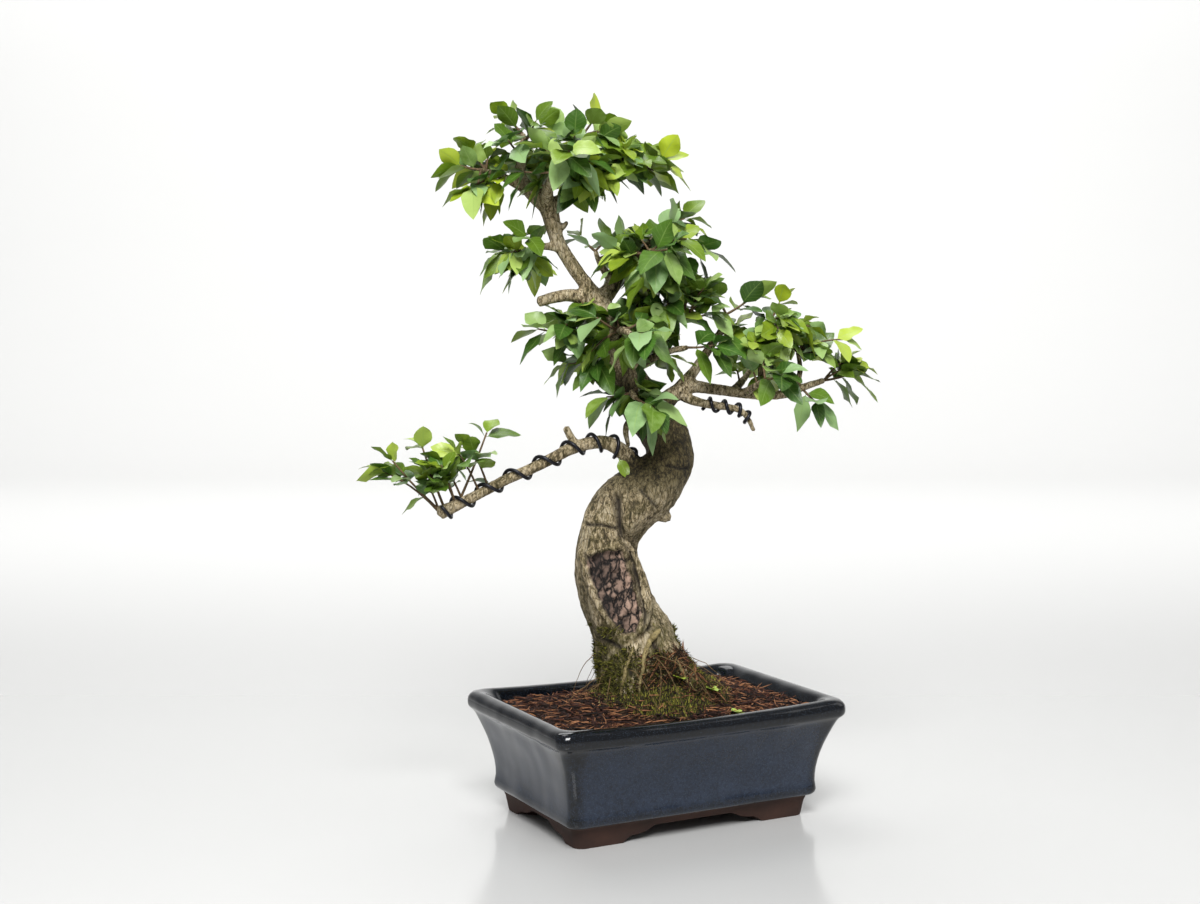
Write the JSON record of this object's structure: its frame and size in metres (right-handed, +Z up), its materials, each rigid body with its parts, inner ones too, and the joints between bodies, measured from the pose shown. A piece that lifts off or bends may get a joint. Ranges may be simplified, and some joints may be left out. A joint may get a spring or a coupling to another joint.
{
  "type": "bonsai tree in pot",
  "caption": "Small-leaved bonsai with a curved trunk, a wired side branch and leafy pads, planted in a rectangular glazed pot on bracket feet",
  "frame": {"origin": "On the surface the pot stands on, below the middle of the whole plant's width and depth", "axes": "+X along the pot's long side, to the right as its long front face is seen, +Y away from that face, +Z up the tree"},
  "size_m": [0.4262, 0.2293, 0.5964],
  "materials": {
    "pot_glaze": "dark blue mottled gloss glaze over reddish brown clay",
    "drain_screen": "matte black moulded mesh",
    "soil_mix": "loose bark and coir compost",
    "bark": "rough grey-brown bark with moss low down",
    "training_wire": "black anodised soft wire",
    "leaf_mature": "glossy dark green leaf",
    "leaf_young": "glossy yellow-green leaf"
  },
  "bodies": {
    "root": {"pot": "pot_glaze", "drain_screen_left": "drain_screen", "drain_screen_right": "drain_screen", "soil": "soil_mix", "tree_wood": "bark", "wire_left": "training_wire", "wire_right": "training_wire", "spray_01": "leaf_young", "spray_02": "leaf_mature", "spray_03": "leaf_mature", "spray_04": "leaf_mature", "spray_05": "leaf_young", "spray_06": "leaf_young", "spray_07": "leaf_mature", "spray_08": "leaf_young", "spray_09": "leaf_mature", "spray_10": "leaf_mature", "spray_11": "leaf_young", "spray_12": "leaf_mature", "spray_13": "leaf_mature", "spray_14": "leaf_mature", "spray_15": "leaf_mature", "spray_16": "leaf_mature", "spray_17": "leaf_mature", "spray_18": "leaf_mature", "spray_19": "leaf_mature", "spray_20": "leaf_mature", "spray_21": "leaf_mature", "spray_22": "leaf_mature", "spray_23": "leaf_mature", "spray_24": "leaf_mature", "spray_25": "leaf_mature", "spray_26": "leaf_mature", "spray_27": "leaf_mature", "spray_28": "leaf_mature", "spray_29": "leaf_mature", "spray_30": "leaf_mature", "spray_31": "leaf_mature", "spray_32": "leaf_mature", "spray_33": "leaf_mature", "spray_34": "leaf_mature", "spray_35": "leaf_mature", "spray_36": "leaf_mature", "spray_37": "leaf_mature", "spray_38": "leaf_mature", "spray_39": "leaf_mature", "spray_40": "leaf_mature", "spray_41": "leaf_mature", "spray_42": "leaf_mature", "spray_43": "leaf_mature", "spray_44": "leaf_mature", "spray_45": "leaf_young", "spray_46": "leaf_mature", "spray_47": "leaf_mature", "spray_48": "leaf_mature", "spray_49": "leaf_mature", "spray_50": "leaf_mature", "spray_51": "leaf_mature", "spray_52": "leaf_mature", "spray_53": "leaf_mature"}
  },
  "joints": []
}
